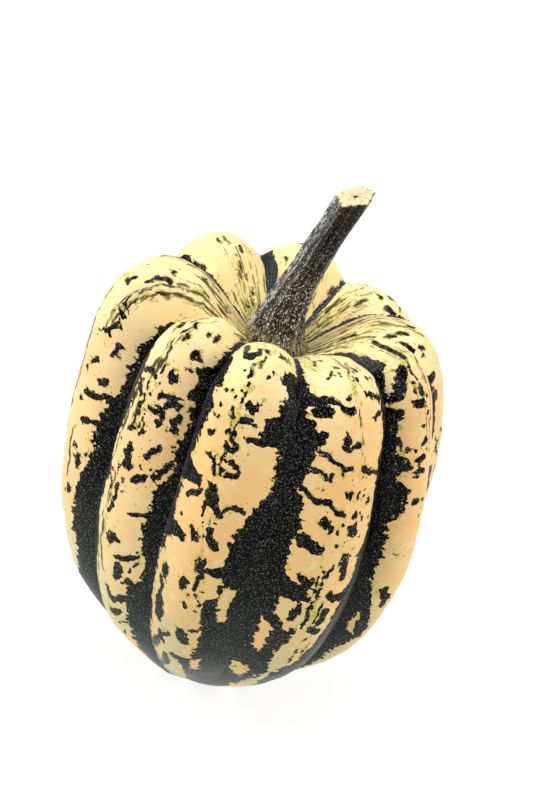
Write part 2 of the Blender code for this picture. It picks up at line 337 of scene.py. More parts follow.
# The fruit's markings, rib by rib, in per cent of the way across the rib and of the way down it.
# start and end are the edges of the dark bands along the rib's two furrows, as (down, across).
# Strokes, yellow-green olive ones, thin lines and bundles of fine streaks are a half width in
# millimetres and then places (across, down). Islands are cream rectangles left in the dark, and
# seen is the part of the rib whose marks are all listed: both are across from, to, down from, to.
markings = {
    "G": {
        "seen": ((0, 100, 6, 90),),
        "bundles": ((1.6, 44, 26, 44, 45, 42, 62), (2.0, 30, 10, 40, 20)),
        "start": (
            (0, 8), (14, 10), (15, 12), (22, 8), (28, 3), (30, 10), (33, 14), (38, 14), (39.5, 16),
            (40, 8), (42, 10), (44, 17), (46, 10), (50, 8), (50.3, 9), (50.6, 27), (51.8, 27),
            (52.3, 5), (55, 6), (56.8, 6), (57.6, 25), (58.5, 25), (59, 10), (61, 4), (63, 8), (64, 2),
            (72, 0), (74, 4), (80, 3), (85, 10),
        ),
        "end": (
            (0, 92), (20, 95), (28, 93), (30.5, 93), (31, 75), (35, 75), (36, 80), (37.5, 87), (39, 77),
            (42, 80), (42.5, 70), (44, 70), (44.7, 65), (45.3, 65), (45.5, 55), (46, 55), (46.5, 88),
            (50, 90), (51, 88), (52.5, 80), (54, 72), (56, 68), (58, 68), (60, 66), (60.3, 50),
            (61.2, 50), (61.7, 66), (64.5, 68), (65.2, 56), (66, 54), (66.5, 57), (70, 58), (70.6, 48),
            (73.5, 46), (74, 58), (76.6, 58), (77, 40), (79, 42), (80, 52), (85, 50),
        ),
        "islands": ((70, 80, 63.3, 68.7), (52, 61, 70.8, 74.2), (57, 67.5, 77, 79.7)),
        "strokes": (
            (1.0, 30, 73.5, 22, 75, 10, 78, 2, 80), (1.1, 29, 78.5, 18, 82, 5, 85),
            (1.3, 15, 64, 13, 66), (0.8, 11, 67, 10, 69), (2.0, 13, 70, 14, 72.5),
            (1.3, 19, 74.7, 24, 75.5), (1.2, 46, 59.7, 45, 61.2), (0.9, 18, 53.2, 30, 52.2),
            (0.9, 68, 26.2, 84, 26.3), (2.0, 74, 23.5, 74, 25.8), (0.5, 70, 22, 70, 26),
            (0.5, 82, 20, 84, 26), (1.6, 19, 19, 24, 25, 27, 29.5), (1.6, 30, 29.3, 36, 30.5, 41, 28.5),
            (1.2, 42, 25, 43, 28.5), (1.1, 51, 24.5, 52, 28.2), (0.6, 49.5, 31.5, 49, 33),
            (0.7, 60, 34.5), (0.6, 43, 35), (0.6, 45, 39, 44, 40.5), (0.8, 24, 40), (0.8, 35, 40),
            (1.6, 54, 41.3), (2.1, 80, 33.3), (1.2, 49, 43.6, 54, 43.4), (0.6, 20, 44.4, 25, 44.2),
            (0.8, 47, 45.5), (0.9, 39, 45.5), (1.2, 21, 46.5), (1.2, 42, 47.3, 48, 46.9),
            (0.8, 27, 48.5, 34, 49), (1.0, 49, 48.4, 54, 48.7), (1.2, 49, 49.7, 56, 49.5),
            (0.8, 34, 48.5, 37, 50), (1.3, 39, 51.3, 39, 53), (1.1, 40, 52, 48, 53.7),
            (0.7, 36, 53, 36, 54.5), (0.8, 50, 54, 57, 53.2, 62, 52.6, 71, 53.2), (0.5, 15, 55.6),
            (1.2, 32, 56.5, 37, 57.5), (1.4, 47, 56, 53, 57.8), (1.3, 33, 64.5, 35, 63.2),
            (1.0, 47, 61.5, 47, 64), (0.5, 48, 64, 50, 65.5), (1.0, 40, 67), (0.8, 52, 66),
            (1.5, 42, 71.5, 47, 73.2), (1.5, 38, 77.5, 46, 78), (0.5, 44, 44, 43, 50),
            (0.4, 50, 30, 50, 33), (0.4, 43, 34.5, 43, 37), (0.4, 38, 42, 38, 46),
        ),
        "olive": (
            (0.7, 62, 20, 57, 26.5), (0.6, 45, 30, 43, 36), (0.6, 44, 37, 44, 45),
            (0.6, 44, 58.5, 43, 61), (0.7, 38, 42, 39, 46), (0.6, 46.5, 37, 46.5, 39),
            (0.5, 30, 15, 38, 22), (0.9, 47, 60, 46, 63.5), (1.0, 35, 64.5), (1.2, 22, 73.5),
            (0.6, 55, 80, 54, 83), (0.7, 43, 14, 45, 22, 42, 28), (0.8, 69, 64.5),
        ),
    },
    "F": {
        "seen": ((0, 100, 6, 86),),
        "bundles": ((1.5, 48, 30, 52, 42, 57, 47), (2.2, 16, 10, 18, 26), (2.0, 62, 17, 50, 28)),
        "start": (
            (0, 7), (12, 5), (32, 5), (34, 9), (36.3, 12), (36.8, 26), (39, 26), (39.5, 6), (42, 7),
            (42.3, 17), (43.2, 19), (43.4, 25), (45, 24), (45.5, 19), (48, 16), (50, 14), (52, 17),
            (54, 19), (56, 15), (60, 16), (60.3, 37), (62.2, 38), (62.7, 17), (65.5, 17), (66, 25),
            (66.8, 24), (67.4, 36), (69, 37), (70, 30), (71.5, 30), (74, 33), (76, 33), (78, 31),
            (80, 26), (84, 18),
        ),
        "end": (
            (0, 94), (15, 94), (24, 91), (28, 88), (32, 84), (36, 83), (40, 84), (42, 84), (43, 85),
            (44, 86), (46, 85), (47, 82), (50, 80), (54, 77), (56, 74), (57, 70), (59, 72), (60, 70),
            (61.2, 66), (61.5, 50), (62, 50), (62.5, 63), (66, 63), (68, 60), (70, 57), (72, 53),
            (73.5, 50), (74.2, 42), (76, 40), (80, 39), (84, 44),
        ),
        "islands": ((11, 20, 67.2, 72.2), (18, 27, 63.3, 65.5), (6, 18, 76.3, 79.2)),
        "strokes": (
            (1.1, 20, 38, 32, 38.6, 38, 39.2, 44, 40), (1.9, 17, 40.3, 22, 40.4),
            (0.7, 17, 45.9, 30, 46.6, 40, 47.4, 51, 48), (0.7, 14, 47.9, 24, 48.2, 34, 48.7),
            (0.9, 14, 50.1, 27, 50.8, 36, 51.2, 47, 52.1), (1.9, 22, 55, 35, 55.8),
            (0.8, 64, 48.2, 95, 49.3), (1.0, 58, 36.1, 67, 37.1, 80, 37.9), (1.3, 71, 41.7, 78, 40.8),
            (1.3, 31, 62.8, 31, 65), (0.6, 48, 57.5, 42, 62, 39, 66), (0.7, 31, 69, 31, 71),
            (1.3, 52, 61.2, 59, 62.2), (0.6, 50, 62.5, 47, 64.5, 46, 66), (1.0, 54, 63.5, 53, 65.5),
            (1.5, 49, 66.4, 53, 66.8), (0.5, 42, 58.3), (0.8, 36, 67.5, 34, 66.8),
            (0.4, 53, 69, 52, 72), (0.5, 46, 70, 45, 72.5), (0.5, 40, 59, 38, 62.5), (1.2, 33, 14),
            (0.5, 55, 12, 60, 18, 57, 24, 47, 30), (0.5, 70, 19, 62, 25, 54, 29), (1.0, 46, 22, 44, 25),
            (1.0, 62, 26, 60, 28), (0.5, 74, 24, 68, 27), (0.7, 25, 15, 22, 20),
            (0.7, 33, 27.5, 30, 29, 25, 31), (0.5, 38, 28.5, 38, 30.5), (0.4, 53, 31, 53, 33),
            (0.6, 44, 36.5), (0.9, 41, 44.2, 44, 45.6, 52, 45.2), (1.1, 60, 47.8, 66, 48.4),
            (0.6, 60, 48.7), (1.1, 50, 50.3), (1.0, 58, 50.5), (1.2, 70, 51.3), (1.0, 57, 52.3),
            (1.6, 58, 53.5, 59, 54), (0.7, 65, 52.8), (0.5, 66, 54.8), (0.7, 49, 53),
            (1.4, 33, 52.8, 39, 53.5), (0.7, 47, 55.2), (0.5, 54, 54.8), (1.9, 57, 57.2, 60, 59.2),
            (1.4, 27, 59.2, 35, 60), (0.4, 66, 31.5, 66, 33),
        ),
        "olive": (
            (0.5, 46, 29, 46, 34, 51, 38, 53, 42, 58, 45), (1.0, 52, 70), (0.8, 12, 16, 10, 22, 18, 25),
            (0.6, 55, 14, 56, 24, 50, 28), (1.0, 74, 34.5), (0.8, 20, 40), (0.7, 55, 56.5, 56, 59.5),
            (0.5, 10, 12, 12, 22), (0.6, 42, 60, 45, 63, 43, 66), (0.6, 60, 47.5, 64, 49),
            (0.6, 54, 34), (0.5, 16, 14, 18, 26), (0.5, 20, 12, 22, 20),
        ),
    },
    "H": {
        "seen": ((0, 100, 6, 88),),
        "bundles": ((2.0, 60, 10, 53, 26, 50, 50),),
        "start": (
            (0, 5), (20, 4), (36, 5), (38, 20), (40, 27), (44, 33), (48, 34), (50, 30), (53, 22),
            (55, 35), (58, 24), (62, 20), (66, 28), (70, 22), (75, 25), (80, 15), (85, 24),
        ),
        "end": (
            (0, 95), (12, 95), (34, 95), (36, 92), (36.8, 84), (39.7, 84), (40, 88), (42.5, 90),
            (43, 86), (44.5, 87), (45, 93), (48, 93), (49, 90), (50.5, 90), (52, 93), (53, 91),
            (54, 83), (57.5, 83), (58, 77), (59, 82), (64, 82), (64.8, 84), (66, 88), (69.5, 86),
            (70, 74), (71.5, 70), (72.5, 72), (73, 73), (80, 74), (85, 66),
        ),
        "strokes": (
            (1.1, 65, 44.9, 76, 44.7), (1.2, 73, 45.8, 80, 45.7), (1.0, 58, 46.9, 67, 46.8),
            (0.9, 70, 46.5, 71, 48.2), (1.1, 84, 46.7, 85, 48.5), (0.7, 79, 47.4, 82, 48.6),
            (1.1, 69, 51.5, 78, 50.4), (1.1, 81, 53.3, 90, 51.6), (1.4, 63, 54.6, 71, 53.6),
            (0.9, 69, 58.6, 80, 58.2), (1.3, 61, 65.2, 80, 65.3), (1.6, 61, 66.5, 60, 68.5),
            (1.2, 72, 69, 80, 70), (1.0, 74, 67.5), (1.4, 48, 71.2, 51, 72.5),
            (1.6, 57, 72.8, 66, 72.2), (1.7, 50, 75.2, 60, 74.8), (0.7, 62, 77),
            (0.5, 62, 78.5, 58, 80), (0.7, 80, 6, 93, 11), (1.8, 35, 15), (1.0, 78, 24, 80, 28),
            (0.8, 72, 28), (0.9, 50, 27, 56, 29.5), (1.6, 42, 31), (0.9, 60, 32.5, 60, 34),
            (1.3, 74, 35.2, 80, 35.7), (0.4, 52, 35, 53, 38), (0.5, 74, 39), (0.4, 79, 39.2),
            (0.8, 57, 40.8, 57, 42), (1.2, 68, 41.2, 71, 42), (0.9, 36, 43, 47, 42),
            (0.9, 37, 44.7, 41, 46), (0.6, 54, 45.3), (0.5, 57, 43.5), (0.8, 46, 47.2, 47, 50),
            (0.5, 53, 47.5, 54, 49.2), (0.8, 58.5, 48.7, 59, 49.8), (0.5, 41, 50, 50, 50),
            (0.6, 38, 51.5), (1.9, 50, 51.8, 52, 53.2), (0.5, 43, 55, 46, 54), (0.8, 53, 55.2),
            (0.8, 47, 56, 43, 60), (0.5, 36, 56, 38, 57.5), (0.5, 49, 62.5, 49, 64),
            (1.7, 48, 63.2, 54, 62.8), (1.2, 50, 72), (0.4, 52, 27, 53, 33), (0.4, 49, 44, 48, 47),
        ),
        "olive": (
            (0.8, 42, 69), (0.8, 40, 61, 36, 66), (0.5, 47, 30, 50, 36), (0.5, 50, 40, 51, 48),
            (0.5, 65, 20.5),
        ),
        "lines": (
            (0.3, 4, 50, 4, 64), (0.3, 8, 52, 7, 68), (0.25, 12, 56, 10, 66), (0.5, 36, 46, 30, 54),
            (0.45, 33, 44, 28, 50), (0.5, 40, 21, 45, 28), (0.5, 34, 22, 40, 30, 42, 34),
            (0.3, 52, 34, 52, 39), (0.3, 48, 36, 46, 41), (0.6, 46, 39.5, 44, 42),
            (0.6, 50, 39.5, 51, 43), (0.5, 53, 39, 52, 42), (0.5, 37, 62, 33, 66),
            (0.6, 36, 66, 38, 69), (0.35, 40, 55, 37, 60), (0.3, 35, 57, 33, 62),
            (0.35, 44, 47, 42, 50), (0.3, 29, 66, 27, 76),
        ),
    },
    "E": {
        "seen": ((0, 62, 4, 84),),
        "bundles": ((1.6, 30, 22, 34, 34, 42, 45), (2.5, 25, 5, 40, 16)),
        "start": (
            (0, 8), (18, 8), (20, 10), (22, 12), (24, 12), (26, 15), (28, 15), (29, 10), (30, 8),
            (34, 7), (36, 5), (41.8, 5), (42, 14), (43.2, 15), (43.6, 12), (47, 12), (48, 13),
            (48.5, 24), (49, 13), (49.2, 22), (50, 22), (50.3, 13), (51.5, 28), (52, 30), (53, 25),
            (54, 20), (56, 14), (64, 14), (66, 18), (67, 25), (69, 33), (70, 38), (72, 38), (73, 30),
            (76, 20), (78, 18),
        ),
        "islands": ((14, 22, 69.5, 72.5),),
        "strokes": (
            (1.6, 39, 18, 38, 24), (1.3, 38, 25, 36, 30), (1.0, 25, 31.5),
            (1.5, 23, 32.5, 20, 36, 15, 38, 10, 39.5), (0.4, 32, 32, 34, 36, 38, 38, 43, 42),
            (0.7, 32, 38.5), (1.6, 34, 41), (0.6, 38, 44.5), (0.6, 45, 43), (1.0, 42, 46.8, 46, 46.5),
            (0.6, 20, 47.5, 30, 47.5), (1.0, 34, 48.7, 39, 48.5), (1.1, 35, 50, 40, 49.8),
            (1.6, 19, 49, 23, 49.5), (1.1, 37, 53, 41, 52.8), (0.6, 50, 54.5), (0.6, 27, 58.5),
            (1.7, 29, 64.2, 35, 65.2), (1.0, 36, 65.5, 37, 66.5),
        ),
        "olive": ((0.4, 27, 17.5, 31, 24), (0.5, 20, 10, 21, 13), (0.6, 36, 38, 42, 43)),
        "lines": (
            (0.25, 26, 17, 29, 24, 30, 30), (0.25, 33, 32, 35, 37, 43, 42, 46, 46),
            (0.3, 46, 24, 47, 32, 49, 38), (0.3, 52, 26, 52, 40, 54, 48), (0.3, 20, 2, 22, 10),
            (0.3, 48, 6, 46, 18), (0.35, 55, 3, 52, 12),
        ),
    },
    "I": {
        "seen": ((45, 100, 8, 86),),
        "bundles": ((1.3, 90, 8, 84, 22, 76, 34, 62, 48),),
        "end": (
            (0, 97), (25, 98), (30, 97), (34, 95), (42, 94), (45.5, 95), (46, 93), (49, 92), (50, 88),
            (52.5, 87), (53, 85), (58.5, 85), (60, 80), (64, 79), (66, 75), (68, 74), (69, 73),
            (70, 78), (73, 77), (75, 70), (80, 60), (85, 58),
        ),
        "strokes": (
            (0.7, 72, 12, 70, 15), (0.4, 80, 10, 74, 24, 72, 36, 63, 44), (0.4, 86, 16, 80, 28, 74, 40),
            (0.6, 72, 20, 71, 23), (1.1, 55, 25, 60, 25), (1.1, 70, 26, 66, 30), (0.5, 80, 24, 78, 31),
            (1.0, 59, 33.5), (0.8, 73, 38.5), (1.1, 76, 41, 69, 43), (0.9, 82, 44, 80, 45.5),
            (1.0, 65, 47.7, 70, 47.3), (0.9, 61, 48.9), (0.9, 76, 49.1, 82, 48.7),
            (1.2, 68, 51, 86, 50.2), (0.9, 71, 53.8, 86, 53), (1.0, 62, 52), (0.5, 65, 55.5),
            (1.2, 71, 57.2), (1.3, 75, 58.3, 76, 59.5), (1.1, 68, 63.2, 70, 63.8),
        ),
        "olive": ((0.8, 80, 32), (0.5, 76, 12, 72, 18)),
        "lines": (
            (0.40, 80, 8, 76, 18, 73, 28, 70, 36, 63, 44),
            (0.45, 88, 8, 84, 18, 79, 28, 74, 38, 70, 42), (0.25, 92, 10, 87, 20),
            (0.25, 68, 14, 64, 24), (0.3, 50, 34, 49, 42), (0.6, 46, 42, 46, 54), (0.3, 50, 45, 50, 52),
            (0.5, 62, 56, 64, 62),
        ),
    },
    "D": {
        "seen": ((0, 55, 2, 46),),
        "bundles": ((4.0, 30, 4, 42, 18), (2.5, 70, 4, 62, 25)),
        "strokes": (
            (1.2, 6, 18, 5, 32), (1.0, 26, 6, 25, 8.5), (1.3, 22, 19.5, 29, 22),
            (1.7, 36, 22.8, 39, 25), (1.2, 22, 25, 17, 31), (1.3, 28, 31, 33, 34), (0.6, 25, 35),
            (0.9, 10, 40, 15, 43), (0.5, 45, 13, 48, 19, 54, 23, 50, 30), (0.5, 16, 8, 15, 13),
            (0.4, 38, 11, 42, 18),
        ),
        "olive": (
            (0.6, 16, 8, 15, 14), (0.8, 42, 12, 48, 20, 55, 25), (0.7, 24, 6, 30, 5),
            (0.6, 53, 24, 50, 33),
        ),
        "lines": (
            (0.35, 30, 0, 34, 8), (0.3, 45, 13, 49, 20, 54, 24, 50, 31), (0.3, 16, 5, 15, 15),
            (0.25, 38, 10, 43, 18), (0.3, 55, 5, 58, 16), (0.3, 10, 0, 11, 8), (0.3, 48, 0, 52, 7),
        ),
    },
    "J": {
        "seen": ((45, 100, 4, 34),),
        "bundles": ((3.0, 62, 6, 60, 20), (2.0, 86, 10, 85, 30)),
        "end": ((0, 96), (34, 95)),
        "strokes": (
            (1.0, 73, 8, 75, 11), (1.2, 83, 8.5, 84, 10.5), (0.8, 53, 10.5, 56, 11),
            (0.6, 70, 10, 65, 15), (0.9, 91, 17, 91, 20), (2.2, 75, 24), (0.5, 92, 5, 95, 8),
            (0.8, 92, 24, 97, 28), (1.8, 87, 28, 91, 33),
        ),
        "olive": ((0.9, 72, 9, 64, 15), (0.8, 78, 6, 76, 10), (0.8, 84, 29, 86, 33)),
        "lines": (
            (0.35, 78, 4, 72, 12, 66, 19), (0.3, 90, 4, 86, 14, 84, 22), (0.35, 62, 4, 58, 12),
            (0.3, 95, 10, 93, 26),
        ),
    },
    "A": {
        "seen": ((0, 100, 0, 30),),
        "bundles": ((2.0, 40, 3, 36, 18), (2.0, 66, 3, 66, 16)),
        "start": ((0, 4), (30, 5)),
        "end": ((0, 97), (28.5, 98)),
        "strokes": (
            (0.5, 10, 7, 8, 10), (0.8, 38, 2, 34, 3), (0.6, 52, 3, 50, 5), (0.9, 42, 5.5, 46, 5.5),
            (0.8, 65, 3, 70, 3.5), (0.9, 96, 20, 97, 27), (0.6, 50, 7, 50, 8.5), (0.7, 58, 9, 57, 11.5),
            (0.6, 62, 7.5, 63, 9.5), (1.4, 46, 13.8), (0.5, 62, 13.5), (0.5, 73, 14.5),
            (0.6, 59, 18, 54, 25), (0.8, 64, 21.5, 62, 25), (0.4, 73, 7),
        ),
        "olive": (
            (1.5, 68, 2, 70, 4.5), (1.2, 30, 14, 36, 16), (0.7, 63, 8, 64, 11), (0.6, 60, 17, 56, 24),
            (0.6, 48, 2, 46, 5),
        ),
    },
    "B": {
        "seen": ((0, 100, 0, 26),),
        "bundles": ((2.0, 75, 5, 80, 18), (1.5, 20, 5, 20, 16)),
        "start": ((0, 3), (30, 3)),
        "end": ((0, 97), (3, 87), (30, 88)),
        "strokes": ((0.7, 8, 6), (0.7, 5, 10, 4, 14), (0.7, 74, 14, 78, 17)),
        "olive": ((0.6, 82, 7, 87, 11),),
    },
    "C": {
        "seen": ((0, 100, 0, 28),),
        "bundles": ((3.5, 30, 3, 36, 18), (2.5, 65, 3, 62, 20)),
        "start": ((0, 7), (8, 7), (10, 3), (30, 3)),
        "end": ((0, 92), (3, 85), (6, 85), (10, 92), (22, 95), (30, 95)),
        "strokes": (
            (0.8, 40, 3, 58, 3), (0.8, 70, 6, 74, 9), (1.0, 32, 10, 42, 15, 47, 19), (0.6, 20, 4.5),
            (0.5, 18, 9), (1.9, 20, 25, 8, 28), (1.2, 40, 25, 50, 25.5), (0.8, 42, 24),
            (0.4, 60, 20, 58, 26), (0.4, 66, 3, 64, 10),
        ),
        "olive": (
            (0.9, 36, 3, 38, 8), (0.8, 28, 10, 42, 18), (0.6, 76, 21, 72, 24), (0.5, 58, 20, 56, 28),
            (0.5, 55, 4, 56, 9),
        ),
        "lines": (
            (0.3, 22, 0, 26, 6), (0.3, 60, 18, 58, 27), (0.3, 66, 2, 64, 11),
            (0.25, 80, 4, 76, 16, 73, 26), (0.3, 45, 0, 47, 5),
        ),
    },
}


# Marks for the parts of the skin that aren't listed above, in shares of 1. edge and strokeChance
# are tables of (down, value), and most other pairs are a lowest and a highest value.
invented = {
    "seed": 100,
    "edge": ((0.0, 0.05), (0.30, 0.05), (0.42, 0.14), (0.60, 0.20), (0.72, 0.27), (0.85, 0.28)),
    "edgeUneven": (0.55, 1.35),
    "blockLength": (0.004, 0.034),
    "blockSlant": (0.8, 1.15),
    "gap": (0.002, 0.007),
    "fingersFrom": 0.34,
    "fingerChance": 0.34,
    "fingerReach": (0.06, 0.26),
    "fingerLength": (0.009, 0.020),
    "lowEdge": ((0.90, 0.36), (0.95, 0.43), (0.99, 0.30)),
    "strokeTries": 150,
    "strokeAcross": (0.12, 0.88),
    "strokeDown": (0.04, 0.86),
    "strokeChance": ((0.0, 0.5), (0.2, 0.5), (0.4, 0.75), (0.86, 0.8)),
    "strokeHalves": (0.6, 0.7, 0.9, 1.1, 1.4),  # millimetres
    "fans": 8,
    "fanStarts": (0.0, 0.03, 0.07),
    "fanLength": (0.03, 0.09),
    "fanHalf": (0.16, 0.34),
    "fleckFrom": 0.30,
    "fleckChance": 0.75,
    "fleckHalf": (0.30, 0.60),
    "fleckFar": (1.6, 3.4),
    "ribWidth": 38.0,  # a rough size, as the next one is, and for flecks alone
    "skinLength": 205.0,
}

# how the marks' outlines wander, and the limits of the depth in them, in millimetres
drawing = {
    "wanderSizes": (7.0, 3.6, 2.0),
    "wanderHeight": 0.21,
    "acrossSeed": 31,
    "downSeed": 32,
    "farOutside": -20.0,
    "mostDepth": 12.0,
}


# the listed marks of one kind, with their places as shares of 1
def listed(name, kind):
    first = 1 if kind in ("strokes", "olive", "lines", "bundles") else 0  # after the half width
    marks = markings[name].get(kind, ())
    return [(*mark[:first], *(place / 100 for place in mark[first:])) for mark in marks]


# a band edge where none is listed: thin at the top, in uneven blocks and wider further down
def inventEdge(luck, fromShare):
    edge, share = [], fromShare
    while share < invented["edge"][-1][0]:
        reach = tableAt(invented["edge"], share) * luck.uniform(*invented["edgeUneven"])
        stop = share + luck.uniform(*invented["blockLength"])
        edge += [(share, reach), (stop, reach * luck.uniform(*invented["blockSlant"]))]
        if share > invented["fingersFrom"] and luck.random() < invented["fingerChance"]:
            finger = reach + luck.uniform(*invented["fingerReach"])
            edge.append((stop + 0.002, finger))
            edge.append((stop + luck.uniform(*invented["fingerLength"]), finger * 0.92))
        share = edge[-1][0] + luck.uniform(*invented["gap"])
    return edge


# the listed edge of a dark band, continued down to the flat spot
def wholeEdge(name, side, luck):
    known, added = listed(name, side), []
    stop = known[-1][0] if known else 0.0
    if stop < 0.7:
        added = inventEdge(luck, stop + 0.01)
    added += invented["lowEdge"]
    if side == "end":
        added = [(share, 1.0 - reach) for share, reach in added]
    return np.array(known + added)


def inventStrokes(name, luck):
    strokes, seen = [], listed(name, "seen")
    for _ in range(invented["strokeTries"]):
        p, s = luck.uniform(*invented["strokeAcross"]), luck.uniform(*invented["strokeDown"])
        if any(a - 0.02 < p < b + 0.02 and c - 0.01 < s < d + 0.01 for a, b, c, d in seen):
            continue
        if luck.random() > tableAt(invented["strokeChance"], s):
            continue
        # strokes run down the rib near the top, and lean across it further down
        lean = smoothStep(0.22, 0.42, s)
        across = luck.uniform(0.0, 0.07) * lean * luck.choice((-1, 1))
        down = luck.uniform(-0.012, 0.012) * lean + luck.uniform(0.01, 0.045) * (1 - lean)
        strokes.append((luck.choice(invented["strokeHalves"]), p, s, p + across, s + down))
    return strokes


# thin lines that fan out from the stalk over the top of a rib
def fanLines(luck):
    lines = []
    for _ in range(invented["fans"]):
        p, s = luck.uniform(0.08, 0.92), luck.choice(invented["fanStarts"])
        far = s + luck.uniform(*invented["fanLength"])
        bend = (0.5 - p) * luck.uniform(0.0, 0.12)
        half = luck.uniform(*invented["fanHalf"])
        lines.append((half, p, s, p + bend * 0.6, (s + far) / 2, p + bend, far))
    return lines


# flecks beside the strokes, as (half width, across, down)
def satellites(strokes, luck):
    flecks = []
    for stroke in strokes:
        p, s = stroke[-2:] if luck.random() < 0.5 else stroke[1:3]
        if s > invented["fleckFrom"] and luck.random() < invented["fleckChance"]:
            turn, far = luck.uniform(*anyPhase), luck.uniform(*invented["fleckFar"])
            half = luck.uniform(*invented["fleckHalf"])
            aside = far * math.cos(turn) / invented["ribWidth"]
            down = far * math.sin(turn) / invented["skinLength"]
            flecks.append((half, p + aside, s + down))
    return flecks


# a wandering shift at each point of a grid, so that the marks' outlines are uneven
def wander(points, seed):
    luck = np.random.default_rng(seed)
    total, sizes = np.zeros(points.shape[:-1]), drawing["wanderSizes"]
    for size in sizes:
        for _ in range(4):
            way = luck.normal(size=3)
            way *= fullTurn / (size * luck.uniform(0.8, 1.25)) / np.linalg.norm(way)
            total += np.sin(points @ way + luck.uniform(*anyPhase)) * (size / sizes[0]) ** 0.6
    return total * drawing["wanderHeight"]


# how far inside a set of strokes each point lies, in millimetres
def insideStrokes(strokes, part, width, length, shares, lengths):
    best = np.full(part.shape, drawing["farOutside"])
    for stroke in strokes:
        half, places = stroke[0], np.reshape(stroke[1:], (-1, 2))
        half *= 0.7 + 0.3 * smoothStep(0.20, 0.34, places[0, 1])  # thinner near the top
        if len(places) == 1:
            places = np.vstack([places, places + (0.0, 0.0005)])
        spots = np.interp(places[:, 1], shares, lengths)
        for (p0, l0), (p1, l1) in zip(zip(places[:-1, 0], spots[:-1]), zip(places[1:, 0], spots[1:])):
            ax, ay = (part - p0) * width, length - l0
            bx, by = (p1 - p0) * width, l1 - l0
            t = np.clip((ax * bx + ay * by) / (bx * bx + by * by + 1e-9), 0.0, 1.0)
            best = np.maximum(best, half - np.hypot(ax - t * bx, ay - t * by))
    return best


# how far each point lies from an island's edge: below 0 inside it, and above 0 outside
def outsideIsland(island, part, width, length, shares, lengths):
    p0, p1, s0, s1 = island
    l0, l1 = np.interp((s0, s1), shares, lengths)
    dx = np.abs(part - (p0 + p1) / 2) * width - (p1 - p0) / 2 * width
    dy = np.abs(length - (l0 + l1) / 2) - (l1 - l0) / 2
    return np.maximum(dx, dy)


# depth in the dark and in the other marks of one rib's points, rows by columns
def ribMarks(name, skin, part, width, shares, lengths):
    luck = np.random.default_rng(invented["seed"] + ribOrder.index(name))
    low = smoothStep(0.24, 0.40, shares)[:, None]
    shift = wander(skin, drawing["acrossSeed"]) * (0.35 + 0.65 * low)
    part = part + shift / np.maximum(width, 8.0)
    length = lengths[:, None] + wander(skin, drawing["downSeed"]) * (1.6 - 0.8 * low)
    share = np.interp(length, lengths, shares)
    grid = (part, width, length, shares, lengths)
    start, end = (wholeEdge(name, side, luck) for side in ("start", "end"))
    bands = np.maximum((tableAt(start, share) - part) * width, (part - tableAt(end, share)) * width)
    strokes = listed(name, "strokes") + inventStrokes(name, luck)
    strokes += satellites(strokes, luck)
    blots = insideStrokes(strokes, *grid)
    dark = np.maximum(bands, blots)
    for island in listed(name, "islands"):
        dark = np.minimum(dark, outsideIsland(island, *grid))
    depths = {
        "darkDepth": dark,
        "oliveDepth": insideStrokes(listed(name, "olive"), *grid),
        "lineDepth": insideStrokes(listed(name, "lines") + fanLines(luck), *grid),
        "streaky": insideStrokes(listed(name, "bundles"), *grid),
    }
    most = drawing["mostDepth"]
    fields = {key: np.clip(depth, -most, most) for key, depth in depths.items()}
    fields["loose"] = smoothStep(-1.5, 1.5, bands - blots)  # 1 in the bands, 0 in the blots
    return fields


def ringAt(radius, height, azimuth):
    ring = [radius * np.sin(azimuth), -radius * np.cos(azimuth), np.full_like(azimuth, height)]
    return np.stack(ring, 1)[None]


# the first row repeated above and the last one below
def growRows(field, up, down):
    return np.concatenate([np.repeat(field[:1], up, 0), field, np.repeat(field[-1:], down, 0)], 0)


# one rib's skin, closed into the seat above and over the flat spot below, and its finish's fields
def ribPart(name, columnsPerDegree):
    shares, lengths = skinRows()
    degrees = (ribs[nextRib(name)]["furrow"] - ribs[name]["furrow"]) % 360.0
    columns = int(degrees * columnsPerDegree)
    skin, azimuth = ribSkin(name, shares, columns)
    part = np.broadcast_to(np.linspace(0, 1, columns + 1), azimuth.shape)
    # lumps fade out at the furrows, the seat and the flat spot, where the sheets meet
    ends = smoothStep(0.0, 0.06, shares) * smoothStep(1.0, 0.92, shares)
    lumps = lumpsAt(skin) * np.sin(np.pi * part) * ends[:, None]
    skin = skin + np.stack([np.sin(azimuth), -np.cos(azimuth), 0 * azimuth], 2) * lumps[..., None]
    across = lengthAlong(skin)
    width = across[:, -1:]
    fields = ribMarks(name, skin, part, width, shares, lengths)
    down = np.broadcast_to(lengths[:, None], across.shape)
    aside = np.full_like(across, fruit["ribGap"] * ribOrder.index(name))
    fields["skinMap"] = np.stack([across - width / 2, down, aside], 2)
    rim, radius = fruit["crest"][0][1], fruit["seatRadius"]
    floor = rim - fruit["seatDepth"]
    seat = ((fruit["seatHole"], floor), (radius, floor), (radius, rim - fruit["seatLip"]))
    above = [ringAt(*spot, azimuth[0]) for spot in seat]
    below = [ringAt(*spot, azimuth[-1]) for spot in fruit["underside"]]
    fields = {key: growRows(field, len(above), len(below)) for key, field in fields.items()}
    # the way down goes on a little past both ends, so that the scar can tell the underside
    under = 1.0 + 0.01 * np.arange(1, len(below) + 1)
    way = np.concatenate([np.full(len(above), -0.02), shares, under])
    fields["wayDown"] = np.broadcast_to(way[:, None], fields["loose"].shape)
    return np.concatenate(above + [skin] + below, 0), fields


# quads between the rows of a grid of points; a closed grid joins its last column to its first
def gridFaces(rows, wide, closed):
    columns = wide if closed else wide - 1
    row, column = np.meshgrid(np.arange(rows - 1), np.arange(columns), indexing="ij")
    corner, beside = row * wide + column, row * wide + (column + 1) % wide
    return np.stack([corner, beside, beside + wide, corner + wide], 2).reshape(-1, 4)


